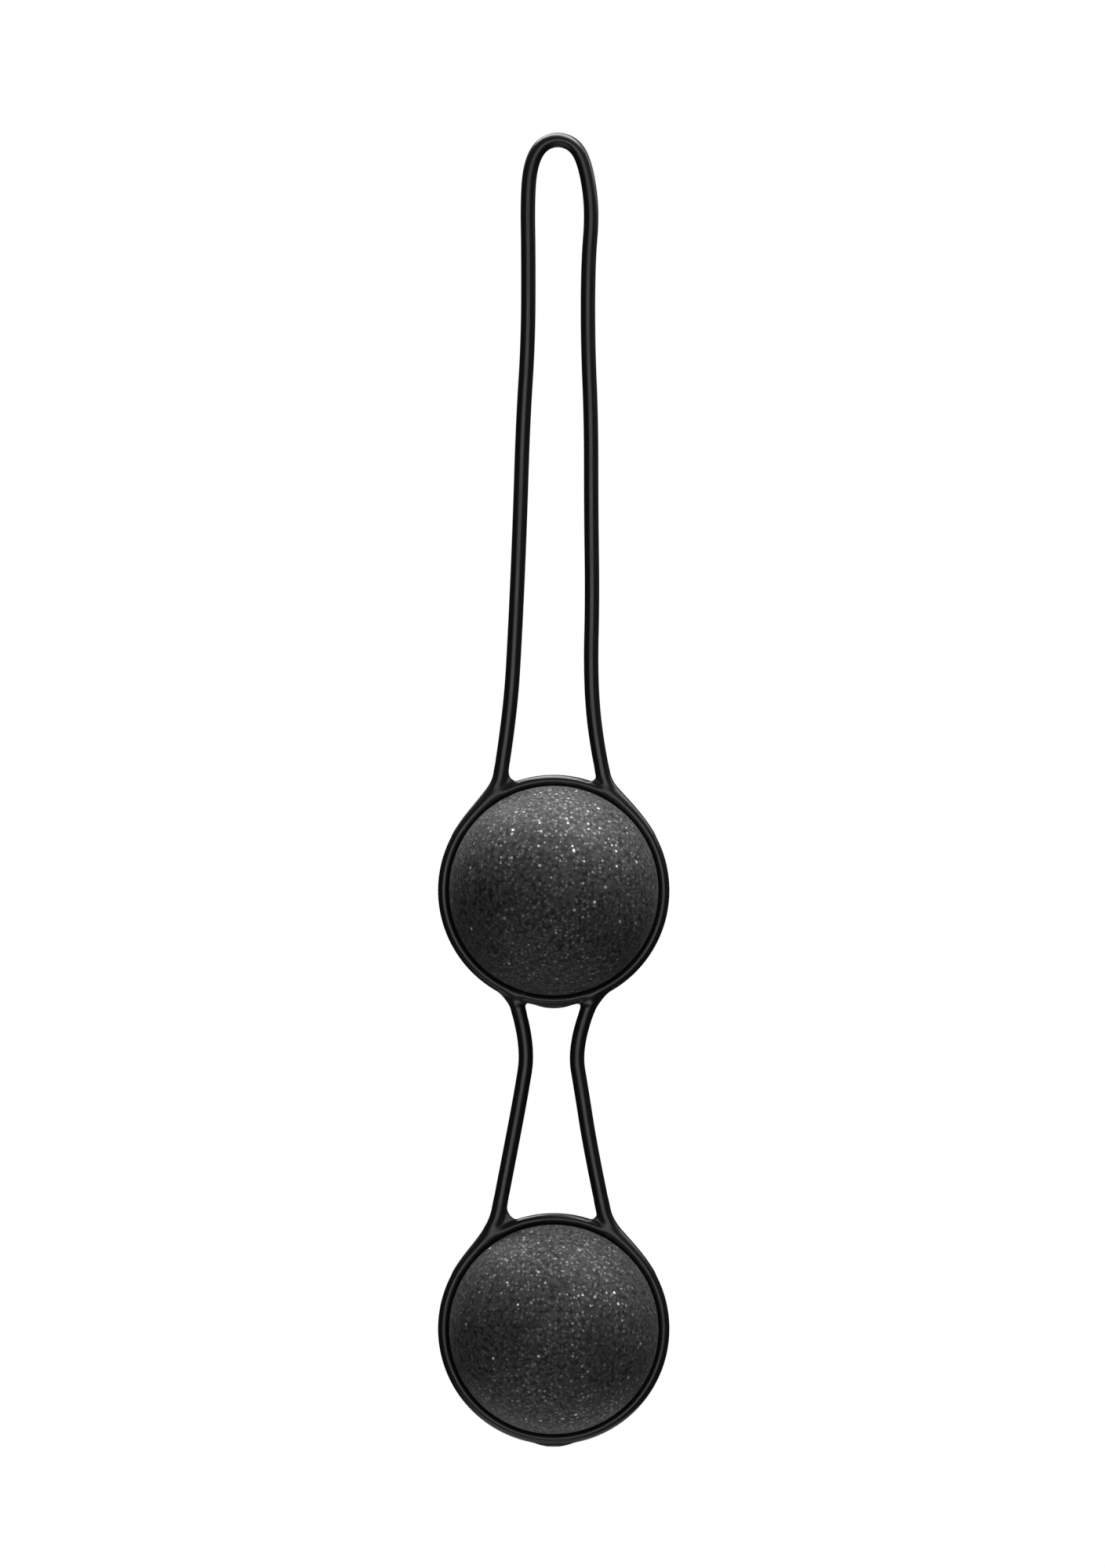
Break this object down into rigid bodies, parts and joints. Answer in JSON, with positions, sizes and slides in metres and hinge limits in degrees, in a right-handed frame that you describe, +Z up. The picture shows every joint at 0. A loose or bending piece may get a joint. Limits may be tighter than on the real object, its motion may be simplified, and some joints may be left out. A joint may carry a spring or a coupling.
{
  "type": "weighted exercise ball set",
  "caption": "Weighted balls held one below the other in a black silicone harness: a ring seats in each ball's groove, strands link the rings, and a long narrow loop rises from the top ring.",
  "frame": {"origin": "inside the tip of the retrieval loop, where the loop hangs from a peg or finger, in the plane of the rings", "axes": "+Z up along the hanging set, X across it in the plane of the rings, +Y from the front to the back, square to the rings"},
  "size_m": [0.038, 0.0344, 0.2158],
  "materials": {
    "black_silicone": "satin moulded silicone",
    "speckled_plastic": "matte charcoal with fine pale specks",
    "weight_steel": "ground steel ball"
  },
  "bodies": {
    "loop": {"retrieval_loop": "black_silicone"},
    "upper_cradle": {"upper_ring": "black_silicone", "left_link_strand": "black_silicone", "right_link_strand": "black_silicone"},
    "upper_ball": {"upper_front_shell": "speckled_plastic", "upper_rear_shell": "speckled_plastic"},
    "upper_weight": {"upper_steel_weight": "weight_steel"},
    "lower_cradle": {"lower_ring": "black_silicone"},
    "lower_ball": {"lower_front_shell": "speckled_plastic", "lower_rear_shell": "speckled_plastic"},
    "lower_weight": {"lower_steel_weight": "weight_steel"}
  },
  "joints": [
    {"name": "upper_swing", "type": "hinge", "parent": "loop", "child": "upper_cradle", "pos_m": [0, 0, -0.087], "axis": [1, 0, 0], "range_deg": [-120, 120], "deforming": ["retrieval_loop"]},
    {"name": "lower_swing", "type": "hinge", "parent": "upper_cradle", "child": "lower_cradle", "pos_m": [0, 0, -0.1581], "axis": [1, 0, 0], "range_deg": [-120, 120], "deforming": ["left_link_strand", "right_link_strand"]},
    {"name": "upper_ball_spin", "type": "hinge", "parent": "upper_cradle", "child": "upper_ball", "pos_m": [0, 0, -0.1221], "axis": [0, 1, 0], "continuous": true},
    {"name": "lower_ball_spin", "type": "hinge", "parent": "lower_cradle", "child": "lower_ball", "pos_m": [0, 0, -0.1941], "axis": [0, 1, 0], "continuous": true},
    {"name": "upper_weight_roll", "type": "hinge", "parent": "upper_ball", "child": "upper_weight", "pos_m": [0, 0, -0.1221], "axis": [0, 1, 0], "continuous": true},
    {"name": "lower_weight_roll", "type": "hinge", "parent": "lower_ball", "child": "lower_weight", "pos_m": [0, 0, -0.1941], "axis": [0, 1, 0], "continuous": true}
  ]
}
